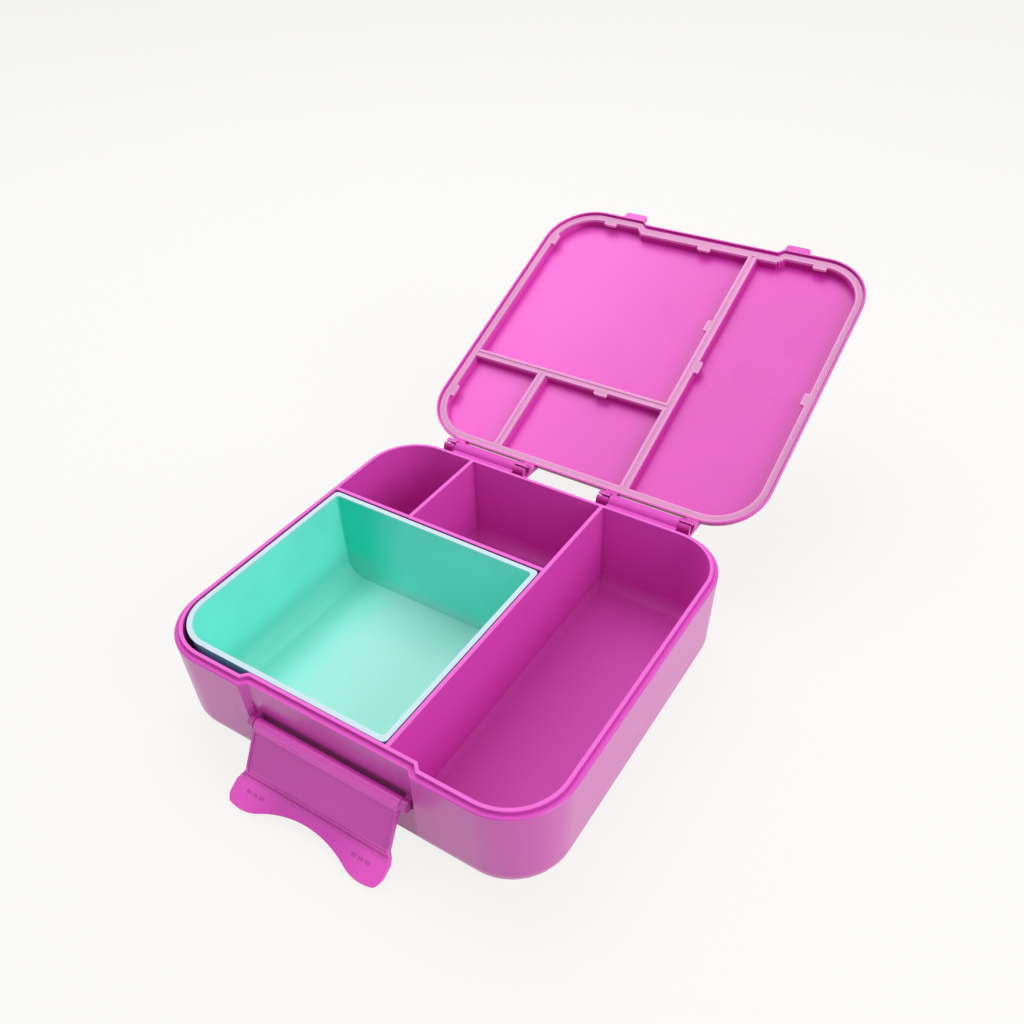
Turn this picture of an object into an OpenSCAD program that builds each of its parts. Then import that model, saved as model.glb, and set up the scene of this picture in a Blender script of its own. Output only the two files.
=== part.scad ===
// Bento lunch box: a moulded base with four compartments, a lift-out inner tub,
// a hinged lid with a silicone seal grid, and a wide front latch.
// Millimetres. +Z up, front (latch side) toward -Y. Origin: centre of the base underside.
// The lid and the latch are drawn closed and then swung open about their own hinge axes.

/* [Body] */
// Width over the rim, left to right
body_w = 206.8; // [180:0.2:240]
// Depth over the rim, front to back
body_d = 190; // [170:0.5:220]
// Height of the base from the table to the top of the rim lip
base_h = 53; // [46:0.5:70]
// Corner radius of the rim seen from above
corner_r = 30; // [27:0.5:40]
// How far each outer wall leans in from rim to floor
wall_draft = 2.2; // [0.5:0.1:4]
// Radius where the outer wall turns under
foot_r = 12; // [6:0.5:14]
// Floor thickness
floor_t = 2.4; // [1.6:0.1:4]
// Depth of the groove that sets off the foot ring
foot_h = 0.8; // [0.4:0.1:1.5]
// Width from the outline to that groove
foot_inset = 26; // [20:1:40]
// Width of the groove
foot_groove = 4; // [2:0.5:8]

/* [Rim] */
// Width of the outer ledge the lid skirt comes down on
ledge_w = 2.6; // [2.4:0.1:3]
// Width of the raised lip
lip_w = 1.6; // [1.2:0.1:2]
// Height of the raised lip above the ledge
lip_h = 1.8; // [1:0.1:2.4]
// Chamfer on the outer edge of the ledge
ledge_bevel = 0.6; // [0.2:0.1:1]

/* [Dividers] */
// Centre of the long front-to-back divider
long_x = 30; // [10:0.5:50]
// Centre of the cross divider
cross_y = 33.5; // [15:0.5:50]
// Centre of the short divider between the two small cups
short_x = -51; // [-65:0.5:-30]
// Divider thickness at the top
div_t = 2; // [1.6:0.1:2.4]
// How far each divider face leans out toward the floor
div_draft = 0.8; // [0.2:0.1:1.5]
// Flare at the foot of each divider
div_foot = 2.6; // [1:0.1:5]
// How far the inside of each outer wall leans in toward the floor
inner_draft = 1.2; // [0.4:0.1:2]
// Radius between the compartment walls and the floor
floor_r = 7; // [3:0.5:9]

/* [Latch recess] */
// Width of the recess at its back
notch_w = 86.6; // [80:0.2:100]
// Depth of the step in the rim
notch_depth = 3; // [2.6:0.1:3.4]
// Extra depth behind the latch hinge
notch_extra = 0.8; // [0.4:0.1:1]

/* [Lid hinges] */
// Distance of each hinge centre in from the side of the box
hinge_inset = 54.2; // [50:0.2:58]
// Hinge axis behind the back of the rim
hinge_reach = 7.5; // [7.2:0.1:10]
// Hinge axis below the top of the rim lip
hinge_drop = 4.5; // [4:0.05:5]
// Radius of the moulded hinge barrel on the base
barrel_r = 3.8; // [3.2:0.1:4]
// Length of the moulded hinge barrel
barrel_len = 39.6; // [30:0.2:44]
// Width of each lid hinge ear
ear_w = 6.4; // [5:0.1:9]
// Radius of each lid hinge ear
ear_r = 4.3; // [3.9:0.1:4.5]
// Gap between barrel end and ear
ear_gap = 0.4; // [0.2:0.05:0.8]
// Radius of the lid hinge pins
hinge_pin_r = 1.5; // [1.2:0.1:1.7]
// Width of the snap slot in each ear
snap_w = 1.2; // [1:0.1:2]
// Radius of the recess in the outer face of each ear
ear_bore_r = 2.6; // [2:0.1:2.8]
// Depth of that recess
ear_bore_d = 3; // [1:0.1:4]

/* [Lid] */
// Gap between the rim ledge and the closed lid skirt
lid_gap = 0.5; // [0.3:0.1:1]
// Height of the lid from skirt edge to top face
lid_h = 9.5; // [9:0.1:12]
// Thickness of the skirt at its edge
skirt_t = 0.9; // [0.8:0.05:1.1]
// Depth of that thin edge
skirt_h = 1.8; // [1:0.1:2]
// Depth of the land behind the skirt edge
land_depth = 3.3; // [3.1:0.1:3.6]
// Top panel thickness
panel_t = 2; // [1.6:0.1:2.6]
// Rounding of the lid's top edge
lid_r = 8.5; // [4:0.5:8.5]
// Width of the ribs that carry the seal
rib_w = 6; // [5.6:0.1:7]
// Width of the land from the outline to the panel recess
land_w = 5.9; // [5.7:0.1:8]
// Extra width of the land and the seal behind the latch notch
notch_land = 1.3; // [0.5:0.1:2]
// How far the lid stands open from closed, in degrees
lid_open = 157; // [90:1:165]
// Width of each raised guide beside the latch notch
guide_w = 14.5; // [8:0.5:20]
// How far each guide stands out from the lid
guide_out = 4.2; // [1:0.1:5]
// Height of each guide
guide_h = 3; // [2:0.1:5]

/* [Seal] */
// Seal thickness under the land
seal_t = 1.6; // [1.2:0.1:1.6]
// Gap between seal and lid
seal_gap = 0.1; // [0.05:0.05:0.2]
// Outer edge of the seal, in from the outline
seal_out = 1.7; // [1.6:0.1:1.9]
// Inner edge of the seal, in from the outline
seal_in = 5.5; // [5:0.1:5.6]
// Width of the seal on each rib
seal_rib_w = 5; // [4:0.1:5.2]
// Width of the tongue pressed into the lid
tongue_w = 1; // [0.8:0.1:1.2]
// Height of the tongue
tongue_h = 1.1; // [0.6:0.1:1.1]
// Width of the channel a divider top meets
channel_w = 1.8; // [1:0.1:2.2]
// Depth of that channel
channel_d = 0.6; // [0.3:0.1:0.9]
// Length of each small seal tab
tab_l = 8; // [4:0.5:12]
// How far each tab reaches into its panel
tab_out = 2.6; // [1:0.1:3]

/* [Latch] */
// Gap from each end of the latch plate to the side of its recess
latch_side = 3.5; // [3:0.1:5]
// Latch axis in front of the recess back
latch_out = 2.6; // [2.5:0.1:2.9]
// Height of the latch axis
latch_z = 30; // [28:0.2:34]
// Latch plate thickness
latch_t = 2.2; // [1.8:0.1:2.6]
// Radius of the rolled hinge edge
roll_r = 2.7; // [2.4:0.1:2.8]
// Plate length from the axis to the crease
plate_l = 24.2; // [23.8:0.1:25]
// Length of the finger lip beyond the crease
lip_l = 13.9; // [12:0.1:14.2]
// Angle of the finger lip to the plate
lip_bend = 30; // [20:1:32]
// How far the finger lip flares out past each end of the plate
flare_out = 2.5; // [1:0.1:2.7]
// Corner radius of the finger lip
corner_lip_r = 5; // [3:0.5:6]
// Distance of each lobe of the finger lip from the middle
lobe_x = 33.5; // [30:0.5:36]
// Rounding of each lobe
lobe_r = 25; // [15:1:35]
// Radius of the dip between the lobes
dip_r = 60; // [50:1:80]
// Distance of each row of grip marks from the middle
mark_x = 29.5; // [20:0.5:33]
// Width of the border round the sunk face of the plate
border = 1.2; // [0.8:0.1:4]
// Gap from the plate to the rim ledge when closed
latch_gap = 0.4; // [0.3:0.05:0.6]
// Height of the catch rib
catch_h = 0.9; // [0.5:0.05:1]
// Radius of the latch pin
latch_pin_r = 1.1; // [0.8:0.05:1.2]
// How far the latch stands open from closed, in degrees
latch_open = 152; // [90:1:153]

/* [Inner tub] */
// Radius of the tub's other upright corners
cell_r = 2.5; // [1:0.5:5]
// Gap between the tub and the compartment at the rim
tub_gap = 0.8; // [0.5:0.1:1.5]
// Tub wall thickness
tub_t = 2.4; // [1.6:0.1:3]
// How far each tub wall leans in toward its floor
tub_draft = 7; // [4:0.1:7.5]
// Inside radius from the tub's left and front walls to its floor
tub_r = 11; // [8:0.5:11]
// Tub rim below the rim lip of the base
tub_drop = 0.4; // [0.3:0.1:2]
// Radius of the tub's outer front corner
tub_corner_r = 22; // [21:0.5:24]

/* [Fits] */
// Clearance round a turning pin
turn_fit = 0.06; // [0.02:0.01:0.1]
// Clearance round a pin fixed in its bore
hold_fit = 0.02; // [0.01:0.01:0.05]
// Gap under a part that rests on another
rest_gap = 0.3; // [0.1:0.05:0.5]

/* [Hidden] */
$fn = 48;
shell_col = [0.78, 0.22, 0.66];
lid_col = [0.86, 0.30, 0.72];
seal_col = [0.98, 0.66, 0.88];
tub_col = [0.36, 0.84, 0.74];
steel_col = [0.74, 0.74, 0.76];
over = 1;
sink = 0.5;
overlap = 0.03;
lid_draft = 0.4;
margin = 20;
far_x = body_w / 2 + margin;
far_y = body_d / 2 + margin;
front_y = -body_d / 2;
lip_in = ledge_w + lip_w;
ledge_z = base_h - lip_h;
floor_z = foot_h + floor_t;
cell_h = base_h - floor_z + over;
notch_y = front_y + notch_depth;
hinge_x = body_w / 2 - hinge_inset;
hinge_y = body_d / 2 + hinge_reach;
hinge_z = base_h - hinge_drop;
ear_x0 = barrel_len / 2 + ear_gap;
lid_z = ledge_z + lid_gap;
lid_top = lid_z + lid_h;
land_z = lid_z + land_depth;
seal_fit = 0.2;
end_gap = 0.2;
guide_z = lid_z + 0.3;
latch_w = notch_w - 2 * latch_side;
flare_w = latch_w + 2 * flare_out;
lug_w = latch_side - ear_gap - end_gap;
mark_w = 2.4;
mark_h = 1.5;
mark_z = 5;
mark_pitch = 3.6;
mark_deep = 0.4;
panel_z = lid_top - panel_t;
seal_z = land_z - seal_gap - seal_t;
latch_y = notch_y - latch_out;
plate_y = notch_y - latch_gap;
crease_z = latch_z + plate_l;
dip = lobe_r + dip_r - sqrt((lobe_r + dip_r) ^ 2 - lobe_x ^ 2) + overlap;
join_x = lobe_x * dip_r / (lobe_r + dip_r);
tip_z = crease_z + lip_l * cos(lip_bend);
step_z = crease_z - rest_gap;
step_y = notch_y + catch_h - 0.1;
bevel_half = flare_w / 2 + 0.8;
lug_x0 = latch_w / 2 + ear_gap;
lug_z = latch_z + 6;

// Flat outlines --------------------------------------------------------------

// Rectangle between two corners with the four corners rounded
module round_box(x0, x1, y0, y1, r) {
    translate([x0 + r, y0]) square([x1 - x0 - 2 * r, y1 - y0]);
    translate([x0, y0 + r]) square([x1 - x0, y1 - y0 - 2 * r]);
    for (x = [x0 + r, x1 - r], y = [y0 + r, y1 - r]) translate([x, y]) circle(r);
}

// The latch notch in an outline drawn e inside the rim outline
module notch_2d(e) {
    a = notch_w / 2 + e * (sqrt(2) - 1);
    y = notch_y + e;
    run = notch_depth + e + 5;
    polygon([[-a, y], [a, y], [a + run, y - run], [-a - run, y - run]]);
}

// The rim outline, drawn e inside the outer edge
module outline_2d(e) {
    difference() {
        round_box(e - body_w / 2, body_w / 2 - e, e - body_d / 2, body_d / 2 - e, corner_r - e);
        notch_2d(e);
    }
}

// Upright wall section: outer face at x = 0, leaning in and turning under at radius r
module wall_2d(h, draft, r, reach, bevel = 0) {
    a = atan(draft / h);
    xc = -draft + draft * r / h - r / cos(a);
    cut = r - overlap;
    intersection() {
        translate([xc, r]) circle(r);
        translate([-reach, 0]) square([reach, min(h, 1.5 * r)]);
    }
    polygon(concat([[-reach, 0], [xc, 0], [xc + cut * cos(a), r - cut * sin(a)]],
        bevel > 0 ? [[-draft * bevel / h, h - bevel], [-bevel, h]] : [[0, h]], [[-reach, h]]));
}

// Everything on the near side of a plain leaning wall whose top edge is at a
module lean_2d(a, h, draft, reach) {
    more = draft * over / h;
    polygon([[a - reach, -over], [a - draft - more, -over], [a + more, h + over],
        [a - reach, h + over]]);
}

// Solids ---------------------------------------------------------------------

// A solid pan: the wall section given as the child is swept round a rounded rectangle
module pan(w, d, r, h) {
    for (k = [0:3]) {
        cx = (k == 0 || k == 3 ? 1 : -1) * (w / 2 - r);
        cy = (k < 2 ? 1 : -1) * (d / 2 - r);
        translate([cx, cy, 0]) rotate(90 * k) rotate_extrude(angle = 90) intersection() {
            translate([r, 0]) children();
            square([2 * r, h]);
        }
    }
    for (k = [0, 1]) {
        rotate(180 * k) translate([w / 2, 0, 0]) rotate([90, 0, 0])
            linear_extrude(d - 2 * r, center = true) children();
        rotate(180 * k + 90) translate([d / 2, 0, 0]) rotate([90, 0, 0])
            linear_extrude(w - 2 * r, center = true) children();
    }
    translate([r - w / 2, r - d / 2, 0]) cube([w - 2 * r, d - 2 * r, h]);
}

// Section in the YZ plane run along X
module along_x(len) {
    rotate([90, 0, 90]) linear_extrude(len, center = true) children();
}

// Section in the XZ plane run along Y
module along_y(len) {
    rotate([90, 0, 0]) linear_extrude(len, center = true) children();
}

// Rod along X
module rod(r, len) {
    rotate([0, 90, 0]) cylinder(r = r, h = len, center = true);
}

// Everything inside the lip, down to the floor
module inner_space() {
    translate([0, 0, floor_z]) difference() {
        pan(body_w - 2 * lip_in, body_d - 2 * lip_in, corner_r - lip_in, cell_h)
            wall_2d(cell_h, inner_draft, floor_r, corner_r - lip_in + over);
        translate([0, 0, -over]) linear_extrude(cell_h + 2 * over) notch_2d(lip_in);
    }
}

// Section of a divider: thin at the top, flared into the floor
module divider_2d() {
    h = base_h - floor_z;
    k = div_t / 2 + div_draft;
    polygon([[-div_t / 2, h], [div_t / 2, h], [k, div_foot], [k + div_foot, -sink],
        [-k - div_foot, -sink], [-k, div_foot]]);
}

// What the base holds: the inner space less the three dividers
module hollow() {
    difference() {
        inner_space();
        translate([0, 0, floor_z]) {
            translate([long_x, 0, 0]) along_y(2 * far_y) divider_2d();
            translate([(long_x - far_x) / 2, cross_y, 0]) along_x(far_x + long_x) divider_2d();
            translate([short_x, cross_y + far_y / 2, 0]) along_y(far_y) divider_2d();
        }
    }
}

// Base -----------------------------------------------------------------------

// Barrel and gusset behind the back wall; the axis is the section's origin
module hinge_bracket() {
    rod(barrel_r, barrel_len);
    along_x(barrel_len) polygon([[-hinge_reach - 2.4, 1], [0, 1], [0, sink - barrel_r],
        [-hinge_reach - 2.4, -11]]);
}

// Lug that carries one end of the latch pin
module latch_lug() {
    rod(roll_r + 0.3, lug_w);
    along_x(lug_w) polygon([[0, sink - roll_r], [0, roll_r - sink], [latch_out + 1.6, roll_r],
        [latch_out + 1.6, -roll_r - 3]]);
}

// Outer shell with its rim, before it is hollowed out
module shell() {
    difference() {
        pan(body_w, body_d, corner_r, ledge_z)
            wall_2d(ledge_z, wall_draft, foot_r, corner_r + over, ledge_bevel);
        translate([0, 0, -over]) linear_extrude(base_h) notch_2d(0);
        along_x(notch_w) polygon([[notch_y - 9, -over], [notch_y + notch_extra, -over],
            [notch_y + notch_extra, lug_z], [notch_y, lug_z + 5], [notch_y - 9, lug_z + 5]]);
    }
    translate([0, 0, ledge_z - over]) linear_extrude(lip_h + over) outline_2d(ledge_w);
}

module foot_2d(e) {
    round_box(e - body_w / 2, body_w / 2 - e, e - body_d / 2, body_d / 2 - e, corner_r - 0.8 * e);
}

module base() {
    color(shell_col) difference() {
        union() {
            shell();
            for (s = [-1, 1]) {
                translate([s * hinge_x, hinge_y, hinge_z]) hinge_bracket();
                translate([s * (lug_x0 + lug_w / 2), latch_y, latch_z]) latch_lug();
            }
        }
        hollow();
        translate([0, 0, -over]) linear_extrude(over + foot_h) difference() {
            foot_2d(foot_inset);
            foot_2d(foot_inset + foot_groove);
        }
        for (s = [-1, 1]) translate([s * hinge_x, hinge_y, hinge_z])
            rod(hinge_pin_r + hold_fit, barrel_len + over);
        translate([0, latch_y, latch_z]) rod(latch_pin_r + hold_fit, notch_w);
    }
}

// Inner tub ------------------------------------------------------------------

tub_x0 = lip_in - body_w / 2 + tub_gap + 0.3;
tub_x1 = long_x - div_t / 2 - tub_gap;
tub_y0 = notch_y + lip_in + tub_gap - 0.3;
tub_y1 = cross_y - div_t / 2 - tub_gap;
tub_z0 = floor_z + rest_gap;
tub_h = base_h - tub_drop - tub_z0;

// Tub body drawn t inside its outer faces: the left and front walls sweep into the floor
// at radius r, the back and right walls meet it in a plain edge
module tub_solid(t, r) {
    h = tub_h - t + (t > 0 ? over : 0);
    x0 = tub_x0 + t;
    x1 = tub_x1 - t;
    y0 = tub_y0 + t;
    y1 = tub_y1 - t;
    cr = tub_corner_r - t;
    w = x1 - x0 + 2 * cr;
    d = y1 - y0 + 2 * cr;
    translate([0, 0, tub_z0 + t]) intersection() {
        translate([x0 + w / 2, y0 + d / 2, 0]) pan(w, d, cr, h)
            wall_2d(h, tub_draft, r, cr + over);
        along_y(2 * far_y) lean_2d(x1, h, tub_draft, x1 - x0 + margin);
        along_x(2 * far_x) lean_2d(y1, h, tub_draft, y1 - y0 + margin);
        translate([0, 0, -over]) linear_extrude(h + 2 * over) union() {
            round_box(x0 + cr, x1, y0, y1, cell_r);
            round_box(x0, x1, y0 + cr, y1, cell_r);
            translate([x0 - over, y0 - over]) square(cr + 2 * over);
        }
    }
}

module inner_tub() {
    color(tub_col) difference() {
        tub_solid(0, tub_r + tub_t);
        tub_solid(tub_t, tub_r);
    }
}

// Lid, drawn closed ------------------------------------------------------------

// The four panel recesses, drawn as flat outlines
module panels_2d() {
    k = rib_w / 2;
    intersection() {
        difference() {
            outline_2d(land_w);
            notch_wall_2d(land_w + notch_land);
        }
        union() {
            round_box(long_x + k, far_x, -far_y, far_y, 2);
            round_box(-far_x, long_x - k, -far_y, cross_y - k, 2);
            round_box(-far_x, short_x - k, cross_y + k, far_y, 2);
            round_box(short_x + k, long_x - k, cross_y + k, far_y, 2);
        }
    }
}

// Centre lines of the three ribs, w wide, as flat strips inside the land
module ribs_2d(w) {
    intersection() {
        outline_2d(seal_out + 1);
        union() {
            translate([long_x - w / 2, -far_y]) square([w, 2 * far_y]);
            translate([-far_x, cross_y - w / 2]) square([far_x + long_x, w]);
            translate([short_x - w / 2, cross_y]) square([w, far_y]);
        }
    }
}

// Strip between two outlines
module band_2d(e0, e1) {
    difference() {
        outline_2d(e0);
        outline_2d(e1);
    }
}

// Strip across the notch, t deep behind it
module notch_wall_2d(t) {
    translate([-notch_w / 2 - 1.5, front_y - 2]) square([notch_w + 3, notch_depth + 2 + t]);
}

tongue_mid = (seal_out + seal_in) / 2;
catch_wall = 2;
module tongue_2d(fit) {
    band_2d(tongue_mid - tongue_w / 2 - fit, tongue_mid + tongue_w / 2 + fit);
    intersection() {
        ribs_2d(tongue_w + 2 * fit);
        outline_2d(tongue_mid);
    }
}

// Ear: arm and eye in the YZ plane, the axis is the section's origin
module ear() {
    b = -hinge_reach - 3;
    up = lid_z - hinge_z + 0.25;
    rod(ear_r, ear_w);
    along_x(ear_w) polygon([[b, up], [up - hinge_reach - 0.6, up], [-ear_r + 0.4, -ear_r / 3],
        [0, 0], [1, ear_r - 0.2], [b, up + 6.4]]);
}

module lid_closed() {
    difference() {
        union() {
            difference() {
                translate([0, 0, lid_top]) mirror([0, 0, 1]) pan(body_w, body_d, corner_r, lid_h)
                    wall_2d(lid_h, lid_draft, lid_r, corner_r + over);
                translate([0, 0, lid_z - over]) linear_extrude(lid_h + 2 * over) notch_2d(0);
                along_x(2 * bevel_half) polygon([[front_y - 2, step_z], [step_y, step_z],
                    [step_y, step_z + 0.7], [step_y + 4.3, lid_top + 0.3],
                    [step_y + 4.3, lid_top + over], [front_y - 2, lid_top + over]]);
            }
            for (s = [-1, 1], t = [-1, 1])
                translate([s * hinge_x + t * (ear_x0 + ear_w / 2), hinge_y, hinge_z]) ear();
            for (s = [-1, 1]) translate([s * (notch_w / 2 + notch_depth + guide_w / 2), 0, 0])
                translate([0, 0, guide_z]) linear_extrude(guide_h)
                    round_box(-guide_w / 2, guide_w / 2, front_y - guide_out, front_y + 3, 1.4);
        }
        translate([0, 0, lid_z - over]) linear_extrude(skirt_h + over) outline_2d(skirt_t);
        translate([0, 0, lid_z]) linear_extrude(land_depth) difference() {
            outline_2d(seal_out - seal_fit);
            notch_wall_2d(catch_wall);
        }
        translate([0, 0, land_z - over]) linear_extrude(panel_z - land_z + over) panels_2d();
        translate([0, 0, land_z - over]) linear_extrude(tongue_h + seal_gap + over)
            tongue_2d(seal_gap);
        for (s = [-1, 1]) translate([s * hinge_x, hinge_y, hinge_z]) {
            rod(hinge_pin_r + turn_fit, barrel_len + 4 * ear_w);
            for (t = [-1, 1]) {
                translate([t * (ear_x0 + ear_w / 2) - ear_w, -snap_w / 2, -2 * ear_r])
                    cube([2 * ear_w, snap_w, 2 * ear_r]);
                translate([t * (ear_x0 + ear_w), 0, 0]) rod(ear_bore_r, 2 * ear_bore_d);
            }
        }
    }
}

module open_lid() {
    translate([0, hinge_y, hinge_z]) rotate([-lid_open, 0, 0]) translate([0, -hinge_y, -hinge_z])
        children();
}

module lid() {
    color(lid_col) open_lid() lid_closed();
}

// Silicone seal grid -----------------------------------------------------------

// Small tabs: [x, y, turn]; each points into a panel from the seal edge
tab_spots = [
    [-67.5, seal_in + front_y, 90],
    [-1, notch_y + seal_in + notch_land, 90],
    [70, seal_in + front_y, 90],
    [seal_in - body_w / 2, -66, 0],
    [seal_in - body_w / 2, 64, 0],
    [-11, cross_y + seal_rib_w / 2, 90],
    [long_x - seal_rib_w / 2, -28, 180],
    [long_x + seal_rib_w / 2, 2, 0],
    [body_w / 2 - seal_in, 4, 180]];

module seal_closed() {
    difference() {
        union() {
            translate([0, 0, seal_z]) linear_extrude(seal_t) difference() {
                union() {
                    band_2d(seal_out, seal_in);
                    intersection() {
                        outline_2d(seal_out);
                        notch_wall_2d(seal_in + notch_land);
                    }
                    ribs_2d(seal_rib_w);
                    for (t = tab_spots) translate([t[0], t[1]]) rotate(t[2])
                        round_box(-1, tab_out, -tab_l / 2, tab_l / 2, 0.9);
                }
                notch_wall_2d(catch_wall + seal_fit);
            }
            translate([0, 0, seal_z + seal_t - 0.2]) linear_extrude(tongue_h + 0.2) tongue_2d(0);
        }
        translate([0, 0, seal_z - over]) linear_extrude(channel_d + over) intersection() {
            ribs_2d(channel_w);
            outline_2d(seal_in);
        }
    }
}

module lid_seal() {
    color(seal_col) open_lid() seal_closed();
}

// Latch, drawn closed ------------------------------------------------------------

// Front view of the latch: plate, flared lip and the dip between its two lobes
module latch_front_2d() {
    half = latch_w / 2;
    wide = flare_w / 2;
    top = tip_z - corner_lip_r;
    difference() {
        union() {
            translate([-half, latch_z - roll_r]) square([latch_w, plate_l + roll_r]);
            polygon([[-half, crease_z - 2], [half, crease_z - 2], [wide, crease_z + 3],
                [wide, top], [-wide, top], [-wide, crease_z + 3]]);
            intersection() {
                union() {
                    translate([corner_lip_r - wide, top - over])
                        square([flare_w - 2 * corner_lip_r, corner_lip_r + over]);
                    for (s = [-1, 1]) translate([s * (wide - corner_lip_r), top]) circle(corner_lip_r);
                }
                union() {
                    for (s = [-1, 1]) translate([s * lobe_x, tip_z - lobe_r]) circle(lobe_r);
                    translate([-join_x, top - 2 * over]) square([2 * join_x, corner_lip_r + 3 * over]);
                }
            }
        }
        translate([0, tip_z - dip + dip_r]) circle(dip_r);
    }
}

// Side view of the latch: plate, then the lip leaning over the lid edge
module latch_side_2d() {
    c = cos(lip_bend);
    s = sin(lip_bend);
    translate([plate_y - latch_t, latch_z]) square([latch_t, plate_l]);
    polygon([[plate_y, crease_z], [plate_y + lip_l * s, crease_z + lip_l * c],
        [plate_y + lip_l * s - 1.4 * c, crease_z + lip_l * c + 1.4 * s],
        [plate_y - latch_t, crease_z + 0.6], [plate_y - latch_t, crease_z - 1]]);
    polygon([[plate_y - 0.5, crease_z + 0.1], [plate_y + catch_h, crease_z + 0.1],
        [plate_y + catch_h, crease_z + 0.7], [plate_y + 0.7, crease_z + 1.3]]);
}

module latch_closed() {
    difference() {
        union() {
            intersection() {
                along_x(flare_w + 2) latch_side_2d();
                along_y(2 * far_y) latch_front_2d();
            }
            translate([0, latch_y, latch_z]) rod(roll_r, latch_w);
        }
        translate([0, latch_y, latch_z]) rod(latch_pin_r + turn_fit, latch_w + over);
        translate([0, plate_y, latch_z + 3.6]) along_x(latch_w - 2 * border)
            polygon([[-mark_deep, 0], [over, 0], [over, plate_l - 5], [-mark_deep, plate_l - 5]]);
        translate([0, plate_y, crease_z]) rotate([-lip_bend, 0, 0]) for (s = [-1, 1], k = [-1:1])
            translate([s * mark_x + k * mark_pitch - mark_w / 2, -mark_deep, mark_z])
                cube([mark_w, 2, mark_h]);
    }
}

module open_latch() {
    translate([0, latch_y, latch_z]) rotate([latch_open, 0, 0]) translate([0, -latch_y, -latch_z])
        children();
}

module latch() {
    color(shell_col) open_latch() latch_closed();
}

// Pins ---------------------------------------------------------------------------

module latch_pin() {
    color(steel_col) translate([0, latch_y, latch_z]) rod(latch_pin_r, notch_w - 2 * end_gap);
}

module hinge_pin(s) {
    color(steel_col) translate([s * hinge_x, hinge_y, hinge_z])
        rod(hinge_pin_r, barrel_len + 2 * (ear_gap + ear_w - ear_bore_d - end_gap));
}

module hinge_pin_left() {
    hinge_pin(-1);
}

module hinge_pin_right() {
    hinge_pin(1);
}

base();
inner_tub();
lid();
lid_seal();
latch();
latch_pin();
hinge_pin_left();
hinge_pin_right();
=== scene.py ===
"""Bento lunch box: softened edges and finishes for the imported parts, and their stage."""

import math

import bpy
from bpy.props import FloatProperty, FloatVectorProperty, PointerProperty
from bpy.types import Operator, Panel, PropertyGroup
from mathutils import Matrix, Vector

bl_info = {
    "name": "Bento Lunch Box",
    "version": (1, 0, 0),
    "blender": (4, 5, 0),
    "location": "View3D > Sidebar > Lunch Box",
    "description": "Dresses the packed lunch box with plastics, silicone and steel",
    "category": "Object",
}

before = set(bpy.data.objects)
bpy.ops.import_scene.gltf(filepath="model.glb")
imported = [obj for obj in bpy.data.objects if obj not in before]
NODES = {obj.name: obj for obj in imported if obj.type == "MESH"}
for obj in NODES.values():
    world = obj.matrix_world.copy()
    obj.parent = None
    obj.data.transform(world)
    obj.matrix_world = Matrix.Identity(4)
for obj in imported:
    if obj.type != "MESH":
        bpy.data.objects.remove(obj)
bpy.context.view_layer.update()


def extent(node):
    """Lowest and highest corner of a part, in metres"""
    places = [vertex.co for vertex in NODES[node].data.vertices]
    return [[end(place[axis] for place in places) for axis in range(3)]
            for end in (min, max)]


# Softened edges: weld distance in metres, angles in degrees
WELD = 0.000004
FLAT_ANGLE = 0.4
CORNER_ANGLE = 28.0
CREASE_ANGLE = 52.0
BEVEL_STEPS = 2
FACE_WEIGHT = 80

# A name that ends with BAND holds where a change begins and ends. One that ends with FADE
# holds where it ends at the top, and how far below that it is complete.

# Surface of the plastic: sizes and depths in metres, and what its grain, its rubs and its
# edges do to the roughness
CLOUD_SIZE = 0.06
CLOUD_BAND = (0.3, 0.7)
CLOUD_GAINS = (0.95, 1.04)
CLOUD_DEPTH = 0.00006
GRAIN_DEPTH = 0.00001
GRAIN_ROUGHER = 0.10
RUB_SIZE = 0.012
RUB_STRETCH = (1.0, 0.25, 1.0)
RUB_BAND = (0.55, 0.8)
RUB_ROUGHER = 0.06
EDGE_BAND = (0.01, 0.25)
EDGE_SMOOTHER = 0.08
PLASTIC_IOR = 1.49
SKIN_ROUGHNESS = 0.2

# Surface of the drawn steel
STREAK_SIZE = 0.0004
STREAK_STRETCH = (0.02, 1.0, 1.0)
STREAK_BAND = (0.3, 0.7)
STREAK_GAINS = (0.85, 1.1)
STREAK_DEPTH = 0.000005
STREAK_ROUGHNESS = (0.22, 0.2)

# The places below are in metres.

# Base: its top, and the inner outline there, which leans in by INNER_LEAN for each metre
# down
BASE_TOP = extent("base")[1][2]
INNER_X = 0.0993
INNER_Y = 0.0909
INNER_R = 0.0258
INNER_LEAN = 0.021
WALL_BAND = (0.0, 0.0004)
BARRELS_BAND = (0.0952, 0.0958)
LEDGE_BAND = (0.0506, 0.0512)
RIM_BAND = (BASE_TOP - 0.0007, BASE_TOP - 0.0002)
FLOOR_FADE = (0.010, 0.005)

# Latch as it hangs: the pin in its roll, a step of length 1 down its plate in Y and Z, where
# its painted highlight lies, and the recess in the base at its back, where its painted shadow
# lies
PIN_LOW, PIN_HIGH = extent("latch_pin")
LATCH_Y, LATCH_Z = ((PIN_LOW[axis] + PIN_HIGH[axis]) / 2 for axis in (1, 2))
LATCH_FALL = (-0.469, -0.883)
ROLL_FADE = (0.0032, 0.0006)
LIP_FADE = (-0.1058, 0.001)
TIPS_BAND = (0.012, 0.036)
LATCH_SHADOW_WIDE_FADE = (0.0398, 0.0008)
LATCH_SHADOW_TALL_FADE = (LATCH_Z + 0.0065, 0.004)
LATCH_SHADOW_LOW_BAND = (LATCH_Z - 0.006, LATCH_Z - 0.003)
RECESS_FADE = (-0.089, 0.0005)

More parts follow.
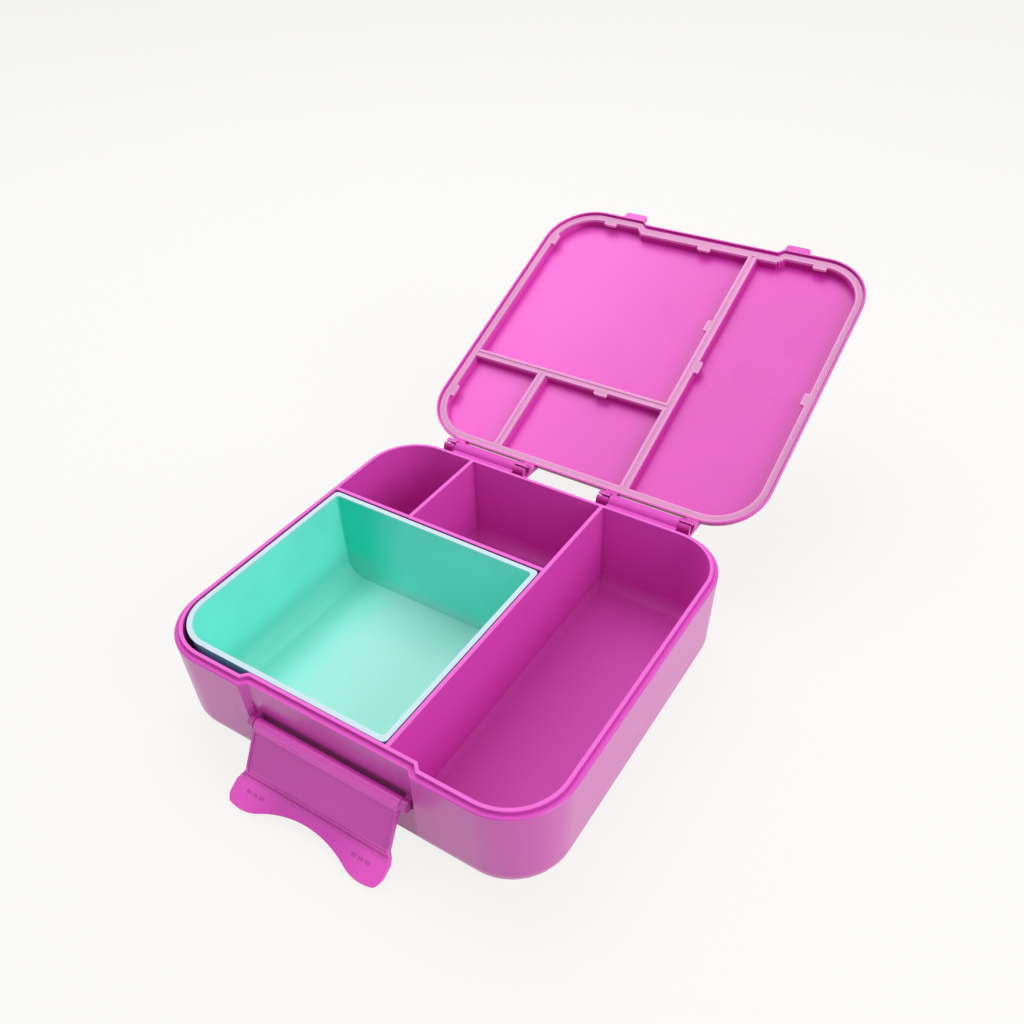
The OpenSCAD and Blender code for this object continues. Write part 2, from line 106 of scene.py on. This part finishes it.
# Tub: its back wall, which leans in by TUB_LEAN for each metre down, its large corner,
# the round foot of its left wall, its open floor and its rim
TUB_TOP = extent("inner_tub")[1][2]
TUB_LEAN = 0.1228
TUB_BACK_BAND = (0.0275, 0.0285)
TUB_CORNER_FADE = (-0.048, 0.032)
TUB_FOOT_X_FADE = (-0.060, 0.014)
TUB_FOOT_Z_FADE = (0.026, 0.014)
TUB_FLOOR_X_BAND = (-0.085, -0.045)
TUB_FLOOR_Z_FADE = (0.014, 0.0075)
TUB_RIM_BAND = (TUB_TOP - 0.0009, TUB_TOP - 0.0002)

# Lid: where the painted light on its left side fades, and how squarely a step faces the hinge,
# from 0 to 1, for the painted shade on such steps
LID_LIGHT_FADE = (0.04, 0.12)
STEP_BAND = (0.6, 0.85)

# Stage, in metres. The floor lies just under the box
FLOOR_HALF = 6.0
FLOOR_Z = -0.0002
TOP_LAMP_SIZE = 1.2
TOP_LAMP_PLACE = (-0.40, 0.40, 1.15)
SIDE_LAMP_SIZE = 0.9
SIDE_LAMP_PLACE = (1.15, -0.05, 0.75)
LAMP_AIM = (0.0, 0.02, 0.05)
SENSOR_MM = 36.0
CLIP = (0.01, 50.0)

# Light that falls on the floor, as a share of white
LIT = 1.2


# Sizes and colours ------------------------------------------------------------


def colour(label, note, default):
    return FloatVectorProperty(name=label, description=note, default=default,
                               size=3, min=0.0, max=1.0, subtype="COLOR")


def length(label, note, default):
    return FloatProperty(name=label, description=note, default=default, min=0.0,
                         unit="LENGTH", subtype="DISTANCE")


def share(label, note, default):
    return FloatProperty(name=label, description=note, default=default, min=0.0, max=1.0,
                         subtype="FACTOR")


class LunchBoxFinish(PropertyGroup):
    """Colours and surface values of the mouldings"""

    shell: colour("Base", "Colour of the moulded base", (0.56, 0.045, 0.40))
    inside: colour("Inside", "Colour of the base where light is caught between its walls",
                   (0.68, 0.060, 0.50))
    # painted highlight: the paler colour laid along rims and other edges where light catches
    # them
    rim: colour("Rims", "Colour of the rims and other edges that catch the light",
                (0.80, 0.135, 0.62))
    # painted shade: the dark colour laid in the narrow gaps of the base and the latch, and as
    # the shadow on the recess wall at the latch's roll
    shade: colour("Shade", "Colour of the base and latch in their narrow gaps",
                  (0.13, 0.004, 0.09))
    lid: colour("Lid", "Colour of the moulded lid", (0.64, 0.030, 0.43))
    # painted light: the lid's left side made paler, as where more light falls
    lid_left_light: colour("Lid, thin side", "Colour of the lid's left side, where it is thinnest",
                     (0.77, 0.070, 0.54))
    # painted shade on the lid's steps that face the hinge
    lid_step_shade: colour("Lid, steps", "Colour of the lid's steps that face the hinge",
                     (0.42, 0.004, 0.22))
    latch: colour("Latch", "Colour of the moulded latch", (0.62, 0.042, 0.45))
    # painted highlight along the latch's roll and at the two ends of its finger lip
    latch_highlight: colour("Latch tips", "Colour of the two ends of the finger lip",
                       (0.84, 0.080, 0.60))
    seal: colour("Seal", "Colour of the silicone seal", (0.62, 0.27, 0.48))
    # painted highlight along the seal's edges
    seal_edge_highlight: colour("Seal edge", "Colour of the seal along its edges",
                      (0.96, 0.34, 0.78))
    # painted shade in the seal's channels and gaps
    seal_channel_shade: colour("Seal channel", "Colour of the seal in its channels",
                      (0.50, 0.29, 0.43))
    tub: colour("Tub", "Colour of the tub's walls", (0.17, 0.81, 0.69))
    # painted shade on the round foot of the tub's left wall
    tub_foot_shade: colour("Tub foot", "Colour of the round foot of the tub's left wall",
                     (0.14, 0.62, 0.50))
    # painted shade on the tub's back wall near its large corner
    tub_corner_shade: colour("Tub corner", "Colour of the tub's back wall near its large corner",
                     (0.015, 0.68, 0.49))
    # painted reflection: the tub's floor made paler towards its right
    tub_floor_reflection: colour("Tub floor", "Colour of the tub's floor", (0.36, 0.74, 0.68))
    tub_rim: colour("Tub rim", "Colour of the tub where light gathers in its rim",
                    (0.52, 0.68, 0.75))
    steel: colour("Pins", "Colour of the steel pins", (0.60, 0.60, 0.62))
    gloss: share("Roughness", "Roughness of the satin mouldings", 0.36)
    gloss_inside: share("Roughness inside", "Roughness inside the base", 0.62)
    gloss_lid: share("Roughness of the lid", "Roughness of the lid", 0.42)
    gloss_tub: share("Roughness of the tub", "Roughness of the tub", 0.5)
    gloss_seal: share("Roughness of the seal", "Roughness of the silicone", 0.6)
    veil: share("Veil", "Strength of the clear satin skin", 0.5)
    grain: length("Grain", "Size of the fine moulded grain", 0.00045)
    edge: length("Edge", "How far a moulded edge is softened", 0.00035)


class LunchBoxStage(PropertyGroup):
    """Camera, floor and light"""

    lens: FloatProperty(name="Lens", description="Focal length on a 36 mm sensor",
                        default=34.34, min=1.0, unit="CAMERA")
    azimuth: FloatProperty(name="Azimuth", description="Camera direction round the box",
                           default=math.radians(33.647), unit="ROTATION", subtype="ANGLE")
    elevation: FloatProperty(name="Elevation", description="Camera angle above the floor",
                             default=math.radians(38.293), unit="ROTATION", subtype="ANGLE")
    roll: FloatProperty(name="Roll", description="Camera turn about its own axis",
                        default=math.radians(-1.954), unit="ROTATION", subtype="ANGLE")
    place: FloatVectorProperty(name="Place", description="Camera position",
                               default=(0.21132, -0.26509, 0.36475), size=3,
                               unit="LENGTH", subtype="TRANSLATION")
    floor: colour("Floor", "Colour of the floor in the light that it sends back",
                  (0.80, 0.80, 0.79))
    backdrop: colour("Backdrop", "Colour of the open floor as it is seen",
                     (0.975, 0.967, 0.950))
    shadow: share("Shadow", "How much of the floor's look comes from the light on it", 0.10)
    top: FloatProperty(name="Top light", description="Power of the large light overhead",
                       default=9.5, min=0.0, unit="POWER")
    side: FloatProperty(name="Side light", description="Power of the light on the right",
                        default=8.0, min=0.0, unit="POWER")
    sky: FloatProperty(name="Room light", description="Strength of the even light all round",
                       default=0.50, min=0.0)


# Shader building --------------------------------------------------------------


class Value:
    """A shader socket that can be used in Python sums"""

    def __init__(self, look, socket):
        self.look = look
        self.socket = socket

    def _math(self, operation, *terms):
        return self.look.node("ShaderNodeMath", {"operation": operation},
                              dict(enumerate(terms)))

    def __add__(self, other):
        return self._math("ADD", self, other)

    def __radd__(self, other):
        return self._math("ADD", other, self)

    def __sub__(self, other):
        return self._math("SUBTRACT", self, other)

    def __rsub__(self, other):
        return self._math("SUBTRACT", other, self)

    def __mul__(self, other):
        return self._math("MULTIPLY", self, other)

    def __rmul__(self, other):
        return self._math("MULTIPLY", other, self)

    def __pow__(self, other):
        return self._math("POWER", self, other)


class Look:
    """A material, or another tree of nodes, under construction"""

    def __init__(self, name=None, tree=None):
        if tree is None:
            self.material = bpy.data.materials.new(name)
            self.material.use_nodes = True
            tree = self.material.node_tree
        self.tree = tree
        self.tree.nodes.clear()

    @classmethod
    def of_tree(cls, tree):
        """Work on a tree that belongs to something other than a material"""
        return cls(tree=tree)

    def node(self, kind, settings=None, inputs=None, output=0):
        """Add a node: its settings first, then the values or links of its sockets"""
        made = self.tree.nodes.new(kind)
        for key, value in (settings or {}).items():
            setattr(made, key, value)
        for key, value in (inputs or {}).items():
            if isinstance(value, Value):
                self.tree.links.new(value.socket, made.inputs[key])
            else:
                made.inputs[key].default_value = value
        return Value(self, made.outputs[output]) if made.outputs else made

    def point(self):
        """Place on the part, in metres"""
        return self.node("ShaderNodeTexCoord", output="Object")

    def facing(self):
        """Which way the surface faces on the part"""
        return self.node("ShaderNodeTexCoord", output="Normal")

    def axes(self):
        """The three distances of the place on the part, in metres"""
        place = self.point()
        return [self.node("ShaderNodeSeparateXYZ", None, {"Vector": place}, output=axis)
                for axis in "XYZ"]

    def noise(self, size, detail, stretch=None):
        """Noise from 0 to 1 whose lumps are about one size across"""
        at = self.point()
        if stretch:
            at = self.node("ShaderNodeVectorMath", {"operation": "MULTIPLY"},
                           {0: at, 1: stretch})
        return self.node("ShaderNodeTexNoise", {"noise_dimensions": "3D"},
                         {"Vector": at, "Scale": 1.0 / size, "Detail": detail,
                          "Roughness": 0.55})

    def size(self, value):
        """The value without its sign"""
        return self.node("ShaderNodeMath", {"operation": "ABSOLUTE"}, {0: value})

    def larger(self, first, second):
        """The larger of two values"""
        return self.node("ShaderNodeMath", {"operation": "MAXIMUM"}, {0: first, 1: second})

    def clamp(self, value, low, high):
        """0 where the value is at or below low, 1 at or above high"""
        return self.node("ShaderNodeMapRange", {"interpolation_type": "SMOOTHSTEP"},
                         {"Value": value, "From Min": low, "From Max": high})

    def below(self, value, high, fade):
        """0 where the value is at or above high, 1 where it is lower by fade or more"""
        return self.clamp(high - value, 0.0, fade)

    def mix(self, amount, first, second):
        """The first colour where the amount is 0, the second where it is 1"""
        return self.node("ShaderNodeMix", {"data_type": "RGBA"},
                         {0: amount, 6: first, 7: second}, output=2)

    def tint(self, body, mask, shade, strength=1.0):
        """The body's colour, turned to the shade where the mask is 1"""
        amount = mask if strength == 1.0 else mask * strength
        return self.mix(amount, body, rgba(shade))

    def edges(self, width):
        """1 along edges and corners of the part, 0 on open faces"""
        soft = self.node("ShaderNodeBevel", {"samples": 4}, {"Radius": width})
        true = self.node("ShaderNodeNewGeometry", output="Normal")
        same = self.node("ShaderNodeVectorMath", {"operation": "DOT_PRODUCT"},
                         {0: soft, 1: true}, output="Value")
        return self.clamp(1.0 - same, *EDGE_BAND)

    def hollows(self, reach):
        """0 deep in a gap or corner, 1 in the open"""
        return self.node("ShaderNodeAmbientOcclusion", {"samples": 6}, {"Distance": reach},
                         output="AO")

    def shown(self):
        """1 for rays that show the background: straight, mirrored or through clear plastic"""
        rays = [self.node("ShaderNodeLightPath", output=name)
                for name in ("Is Camera Ray", "Is Glossy Ray", "Is Transmission Ray")]
        return self.node("ShaderNodeMath", {"operation": "MINIMUM"},
                         {0: rays[0] + rays[1] + rays[2], 1: 1.0})

    def bump(self, height, depth, strength, under=None):
        """Fine relief of a depth in metres, laid over the relief under it"""
        inputs = {"Height": height, "Distance": depth, "Strength": strength}
        if under:
            inputs["Normal"] = under
        return self.node("ShaderNodeBump", None, inputs)

    def finish(self, sockets):
        """Close the material with one shader"""
        surface = self.node("ShaderNodeBsdfPrincipled", None, sockets)
        self.node("ShaderNodeOutputMaterial", None, {"Surface": surface})
        return self.material


def rgba(shade, gain=1.0):
    """A solid colour for a socket, brighter or darker by the gain"""
    return tuple(min(1.0, channel * gain) for channel in shade) + (1.0,)


def moulded(name, shade, values, deep=None, edge_highlight=None, tone=None, rough=None, veil=0.0,
            reach=0.004, catch=(0.25, 0.85), rim_width=0.0007, rim_share=0.5):
    """Satin injection-moulded plastic: flow clouds, fine grain, handling rubs, a painted
    highlight along edges rim_width wide, and painted shade in the deep colour in gaps narrower
    than reach.
    tone is a function that changes the colour by place. rough and veil are a value or a
    function."""
    look = Look(name)
    deep = deep or tuple(channel ** 1.5 for channel in shade)
    edge_highlight = edge_highlight or values.rim
    clouds = look.noise(CLOUD_SIZE, 3.0)
    speckle = look.noise(values.grain, 1.0)
    rubs = look.noise(RUB_SIZE, 4.0, RUB_STRETCH)
    rim = look.edges(rim_width)
    # painted shade: gaps and corners found by ambient occlusion turn towards the deep colour
    gap_shade = 1.0 - look.clamp(look.hollows(reach), *catch)
    body = look.mix(look.clamp(clouds, *CLOUD_BAND),
                    *(rgba(shade, gain) for gain in CLOUD_GAINS))
    if tone:
        body = tone(look, body, values)
    body = look.tint(body, gap_shade, deep, 0.7)
    # painted highlight: edges turn towards the paler edge colour
    body = look.tint(body, rim, edge_highlight, rim_share)
    worn = look.clamp(rubs, *RUB_BAND)
    satin = rough(look) if callable(rough) else rough or values.gloss
    roughness = (satin + (speckle - 0.5) * GRAIN_ROUGHER + worn * RUB_ROUGHER
                 - rim * EDGE_SMOOTHER)
    relief = look.bump(speckle, GRAIN_DEPTH, 0.5)
    relief = look.bump(clouds, CLOUD_DEPTH, 0.3, relief)
    return look.finish({"Base Color": body, "Roughness": roughness, "Normal": relief,
                        "IOR": PLASTIC_IOR, "Coat Roughness": SKIN_ROUGHNESS,
                        "Coat Weight": veil(look) if callable(veil) else veil})


# Softened edges ---------------------------------------------------------------


def crease_group():
    """Modifier nodes that keep the steepest edges sharp, so no shade bleeds over them"""
    group = bpy.data.node_groups.get("Creases")
    if group:
        return group
    group = bpy.data.node_groups.new("Creases", "GeometryNodeTree")
    for way in ("INPUT", "OUTPUT"):
        group.interface.new_socket("Geometry", in_out=way, socket_type="NodeSocketGeometry")
    look = Look.of_tree(group)
    start = look.node("NodeGroupInput")
    bend = look.node("GeometryNodeInputMeshEdgeAngle", output="Unsigned Angle")
    steep = look.node("FunctionNodeCompare", {"operation": "GREATER_THAN"},
                      {0: bend, 1: math.radians(CREASE_ANGLE)})
    sharp = look.node("GeometryNodeSetShadeSmooth", {"domain": "EDGE"},
                      {"Geometry": start, "Selection": steep, "Shade Smooth": False})
    look.node("NodeGroupOutput", None, {0: sharp})
    return group


def soften(node, edge, split=True):
    """Round a part's moulded edges and keep its faces shading flat. A part that is split
    has its faces cut into triangles before its edges are rounded."""
    part = NODES[node]
    for polygon in part.data.polygons:
        polygon.use_smooth = True
    weld = part.modifiers.new("Join", "WELD")
    weld.merge_threshold = WELD
    flat = part.modifiers.new("Flat faces", "DECIMATE")
    flat.decimate_type = "DISSOLVE"
    flat.angle_limit = math.radians(FLAT_ANGLE)
    if split:
        part.modifiers.new("Triangles", "TRIANGULATE")
    bevel = part.modifiers.new("Soft edges", "BEVEL")
    bevel.width = edge
    bevel.segments = BEVEL_STEPS
    bevel.limit_method = "ANGLE"
    bevel.angle_limit = math.radians(CORNER_ANGLE)
    bevel.harden_normals = False
    bevel.use_clamp_overlap = True
    creases = part.modifiers.new("Creases", "NODES")
    creases.node_group = crease_group()
    smooth = part.modifiers.new("Shading", "WEIGHTED_NORMAL")
    smooth.keep_sharp = True
    smooth.weight = FACE_WEIGHT


def cover(node, material):
    """Give a part its one material"""
    NODES[node].data.materials.clear()
    NODES[node].data.materials.append(material)


# Base -------------------------------------------------------------------------


def base_outside(look):
    """1 on the base's outer walls, 0 in its compartments and on its rim and barrels"""
    x, y, z = look.axes()
    lean = (BASE_TOP - z) * INNER_LEAN
    across = look.larger(look.size(x) + lean - (INNER_X - INNER_R), 0.0)
    along = look.larger(look.size(y) + lean - (INNER_Y - INNER_R), 0.0)
    outside = look.clamp((across * across + along * along) ** 0.5 - INNER_R, *WALL_BAND)
    barrels = look.clamp(y, *BARRELS_BAND)
    rim = look.clamp(z, *LEDGE_BAND)
    return outside * (1.0 - barrels) * (1.0 - rim) * (1.0 - latch_shadow_on_base(look))


def latch_shadow_on_base(look):
    """1 on the recess wall where the latch's roll lies against it and its shadow is painted, 0
    elsewhere
    """
    x, y, z = look.axes()
    wide = look.below(look.size(x), *LATCH_SHADOW_WIDE_FADE)
    tall = look.below(z, *LATCH_SHADOW_TALL_FADE)
    front = look.below(y, *RECESS_FADE)
    return wide * tall * front * look.clamp(z, *LATCH_SHADOW_LOW_BAND)


def base_tone(look, body, values):
    """Painted light: brighter inside, where the walls light each other, less so near the
    floor, a painted highlight along the rims, and painted shadow where the latch's roll meets
    the recess"""
    latch_shadow = latch_shadow_on_base(look)
    body = look.mix(look.larger(base_outside(look), latch_shadow), rgba(values.inside), body)
    height = look.axes()[2]
    body = look.tint(body, look.below(height, *FLOOR_FADE), values.shell, 0.7)
    # painted shadow on the recess wall where the latch's roll lies against it
    body = look.tint(body, latch_shadow, values.shade, 0.9)
    # painted highlight along the top of the base's rims
    return look.tint(body, look.clamp(height, *RIM_BAND), values.rim, 0.8)


class LUNCHBOX_OT_base(Operator):
    """Soften the base and give it satin plastic"""

    bl_idname = "lunch_box.base"
    bl_label = "Base"

    def execute(self, context):
        values = context.scene.lunch_box_finish
        soften("base", values.edge)
        inside = values.gloss_inside
        cover("base", moulded(
            "Base plastic", values.shell, values, tone=base_tone,
            rough=lambda look: inside - base_outside(look) * (inside - values.gloss),
            veil=lambda look: base_outside(look) * values.veil))
        return {"FINISHED"}


# Tub --------------------------------------------------------------------------


def tub_tone(look, body, values):
    """Paler on the tub's floor as a painted reflection and along its rim as painted light,
    deeper at its large corner and foot as painted shade
    """
    x, y, z = look.axes()
    back = look.clamp(y + (TUB_TOP - z) * TUB_LEAN, *TUB_BACK_BAND)
    corner = back * look.below(x, *TUB_CORNER_FADE)
    foot = look.below(x, *TUB_FOOT_X_FADE) * look.below(z, *TUB_FOOT_Z_FADE)
    floor = look.below(z, *TUB_FLOOR_Z_FADE) * look.clamp(x, *TUB_FLOOR_X_BAND)
    # painted shade on the back wall near the large corner
    body = look.tint(body, corner, values.tub_corner_shade)
    # painted shade on the round foot of the left wall
    body = look.tint(body, foot, values.tub_foot_shade, 0.8)
    # painted reflection on the tub's floor
    body = look.tint(body, floor, values.tub_floor_reflection)
    # painted light gathering along the tub's rim
    return look.tint(body, look.clamp(z, *TUB_RIM_BAND), values.tub_rim)


class LUNCHBOX_OT_tub(Operator):
    """Soften the lift-out tub and give it mint plastic"""

    bl_idname = "lunch_box.tub"
    bl_label = "Inner tub"

    def execute(self, context):
        values = context.scene.lunch_box_finish
        soften("inner_tub", values.edge)
        # painted light along the tub's rim and edges
        cover("inner_tub", moulded(
            "Tub plastic", values.tub, values, edge_highlight=values.tub_rim, tone=tub_tone,
            rough=values.gloss_tub, veil=0.05))
        return {"FINISHED"}


# Lid and seal -----------------------------------------------------------------


def lid_tone(look, body, values):
    """Painted light paler towards the lid's left side, painted shade on the steps that face
    the hinge
    """
    # painted light on the lid's left side
    body = look.tint(body, look.below(look.axes()[0], *LID_LIGHT_FADE), values.lid_left_light)
    facing = look.node("ShaderNodeSeparateXYZ", None, {"Vector": look.facing()}, output="Y")
    # painted shade on the steps that face the hinge
    step = look.clamp(0.0 - facing, *STEP_BAND)
    return look.tint(body, step, values.lid_step_shade, 0.9)


class LUNCHBOX_OT_lid(Operator):
    """Soften the lid and give it satin plastic"""

    bl_idname = "lunch_box.lid"
    bl_label = "Lid"

    def execute(self, context):
        values = context.scene.lunch_box_finish
        soften("lid", values.edge)
        cover("lid", moulded(
            "Lid plastic", values.lid, values, tone=lid_tone, rough=values.gloss_lid,
            veil=0.1))
        return {"FINISHED"}


class LUNCHBOX_OT_seal(Operator):
    """Soften the seal grid and give it silicone"""

    bl_idname = "lunch_box.seal"
    bl_label = "Lid seal"

    def execute(self, context):
        values = context.scene.lunch_box_finish
        soften("lid_seal", values.edge)
        # painted highlight along the seal's edges and painted shade in its channels
        cover("lid_seal", moulded(
            "Silicone", values.seal, values, deep=values.seal_channel_shade, edge_highlight=values.seal_edge_highlight,
            rough=values.gloss_seal, rim_width=0.0022, rim_share=0.95))
        return {"FINISHED"}


# Latch and pins ---------------------------------------------------------------


def latch_tone(look, body, values):
    """Painted highlight along the roll and at the two ends of the finger lip"""
    x, y, z = look.axes()
    down = (y - LATCH_Y) * LATCH_FALL[0] + (z - LATCH_Z) * LATCH_FALL[1]
    # painted highlight along the latch's roll
    body = look.tint(body, look.below(down, *ROLL_FADE), values.latch_highlight, 0.8)
    # painted highlight at the two ends of the finger lip
    tips = look.below(y, *LIP_FADE) * look.clamp(look.size(x), *TIPS_BAND)
    return look.tint(body, tips, values.latch_highlight, 0.9)


class LUNCHBOX_OT_latch(Operator):
    """Soften the latch and give it satin plastic"""

    bl_idname = "lunch_box.latch"
    bl_label = "Latch"

    def execute(self, context):
        values = context.scene.lunch_box_finish
        soften("latch", values.edge, split=False)
        # painted shade: the shade colour in the latch's marks, crease and narrow gaps
        cover("latch", moulded(
            "Latch plastic", values.latch, values, tone=latch_tone, deep=values.shade,
            veil=values.veil * 0.7, reach=0.0016, catch=(0.45, 0.95)))
        return {"FINISHED"}


class LUNCHBOX_OT_pins(Operator):
    """Give the hinge and latch pins drawn steel"""

    bl_idname = "lunch_box.pins"
    bl_label = "Steel pins"

    def execute(self, context):
        values = context.scene.lunch_box_finish
        look = Look("Drawn steel")
        streaks = look.noise(STREAK_SIZE, 2.0, STREAK_STRETCH)
        body = look.mix(look.clamp(streaks, *STREAK_BAND),
                        *(rgba(values.steel, gain) for gain in STREAK_GAINS))
        least, spread = STREAK_ROUGHNESS
        steel = look.finish({
            "Base Color": body, "Roughness": least + streaks * spread, "Metallic": 1.0,
            "Normal": look.bump(streaks, STREAK_DEPTH, 0.5)})
        for node in ("latch_pin", "hinge_pin_left", "hinge_pin_right"):
            cover(node, steel)
        return {"FINISHED"}


# Stage ------------------------------------------------------------------------


class LUNCHBOX_OT_stage(Operator):
    """Set up the floor, the light and the camera"""

    bl_idname = "lunch_box.stage"
    bl_label = "Stage"

    def execute(self, context):
        stage = context.scene.lunch_box_stage
        scene = context.scene
        scene.view_settings.view_transform = "Standard"
        self.floor(scene, stage)
        self.room(scene, stage)
        self.lamp(scene, "Top light", stage.top, TOP_LAMP_SIZE, TOP_LAMP_PLACE)
        self.lamp(scene, "Side light", stage.side, SIDE_LAMP_SIZE, SIDE_LAMP_PLACE)
        self.camera(scene, stage)
        return {"FINISHED"}

    def floor(self, scene, stage):
        """A wide floor that is seen at its own colour and keeps the box's shadow"""
        corners = [(FLOOR_HALF * across, FLOOR_HALF * along, 0.0)
                   for across, along in ((-1, -1), (1, -1), (1, 1), (-1, 1))]
        mesh = bpy.data.meshes.new("Floor")
        mesh.from_pydata(corners, [], [(0, 1, 2, 3)])
        floor = bpy.data.objects.new("Floor", mesh)
        scene.collection.objects.link(floor)
        floor.location.z = FLOOR_Z
        look = Look("Pale floor")
        shown = look.shown()
        base = look.mix(shown, rgba(stage.floor), rgba((stage.shadow,) * 3))
        glow = look.mix(shown, (0.0, 0.0, 0.0, 1.0),
                        rgba([level - LIT * stage.shadow for level in stage.backdrop]))
        mesh.materials.append(look.finish({
            "Base Color": base, "Roughness": 0.9, "Specular IOR Level": 0.0,
            "Emission Color": glow, "Emission Strength": 1.0}))

    def room(self, scene, stage):
        """Even light from all round, before a plain backdrop"""
        world = bpy.data.worlds.new("Room light")
        world.use_nodes = True
        look = Look.of_tree(world.node_tree)
        shade = look.mix(look.shown(), rgba((stage.sky,) * 3), rgba(stage.backdrop))
        back = look.node("ShaderNodeBackground", None, {"Color": shade, "Strength": 1.0})
        look.node("ShaderNodeOutputWorld", None, {"Surface": back})
        scene.world = world

    def lamp(self, scene, name, power, size, place):
        """A round soft light that points at the box"""
        data = bpy.data.lights.new(name, "AREA")
        data.energy = power
        data.shape = "DISK"
        data.size = size
        lamp = bpy.data.objects.new(name, data)
        lamp.location = place
        direction = Vector(LAMP_AIM) - Vector(place)
        lamp.rotation_euler = direction.to_track_quat("-Z", "Y").to_euler()
        scene.collection.objects.link(lamp)

    def camera(self, scene, stage):
        """A camera turned by its azimuth, elevation and roll"""
        level = math.cos(stage.elevation)
        back = Vector((math.sin(stage.azimuth) * level, -math.cos(stage.azimuth) * level,
                       math.sin(stage.elevation)))
        side = (-back).cross(Vector((0, 0, 1))).normalized()
        over = side.cross(-back)
        cosine, sine = math.cos(stage.roll), math.sin(stage.roll)
        axes = (side * cosine + over * sine, over * cosine - side * sine, back)
        data = bpy.data.cameras.new("Camera")
        data.lens = stage.lens
        data.sensor_width = SENSOR_MM
        data.sensor_fit = "HORIZONTAL"
        data.clip_start, data.clip_end = CLIP
        camera = bpy.data.objects.new("Camera", data)
        turn = Matrix([[axis[row] for axis in axes] for row in range(3)])
        camera.matrix_world = Matrix.Translation(Vector(stage.place)) @ turn.to_4x4()
        scene.collection.objects.link(camera)
        scene.camera = camera


# Add-on -----------------------------------------------------------------------


PIECES = (LUNCHBOX_OT_base, LUNCHBOX_OT_tub, LUNCHBOX_OT_lid, LUNCHBOX_OT_seal,
          LUNCHBOX_OT_latch, LUNCHBOX_OT_pins, LUNCHBOX_OT_stage)


class LUNCHBOX_PT_panel(Panel):
    """Lunch box pieces and values in the sidebar"""

    bl_idname = "LUNCHBOX_PT_panel"
    bl_label = "Lunch Box"
    bl_space_type = "VIEW_3D"
    bl_region_type = "UI"
    bl_category = "Lunch Box"

    def draw(self, context):
        for group in (context.scene.lunch_box_finish, context.scene.lunch_box_stage):
            box = self.layout.box()
            for name in group.__annotations__:
                box.prop(group, name)
        for piece in PIECES:
            self.layout.operator(piece.bl_idname)


CLASSES = (LunchBoxFinish, LunchBoxStage, *PIECES, LUNCHBOX_PT_panel)


def register():
    for cls in CLASSES:
        bpy.utils.register_class(cls)
    bpy.types.Scene.lunch_box_finish = PointerProperty(type=LunchBoxFinish)
    bpy.types.Scene.lunch_box_stage = PointerProperty(type=LunchBoxStage)


def unregister():
    del bpy.types.Scene.lunch_box_stage
    del bpy.types.Scene.lunch_box_finish
    for cls in reversed(CLASSES):
        bpy.utils.unregister_class(cls)


def main():
    register()
    for piece in PIECES:
        group, name = piece.bl_idname.split(".")
        getattr(getattr(bpy.ops, group), name)()


if __name__ == "__main__":
    main()
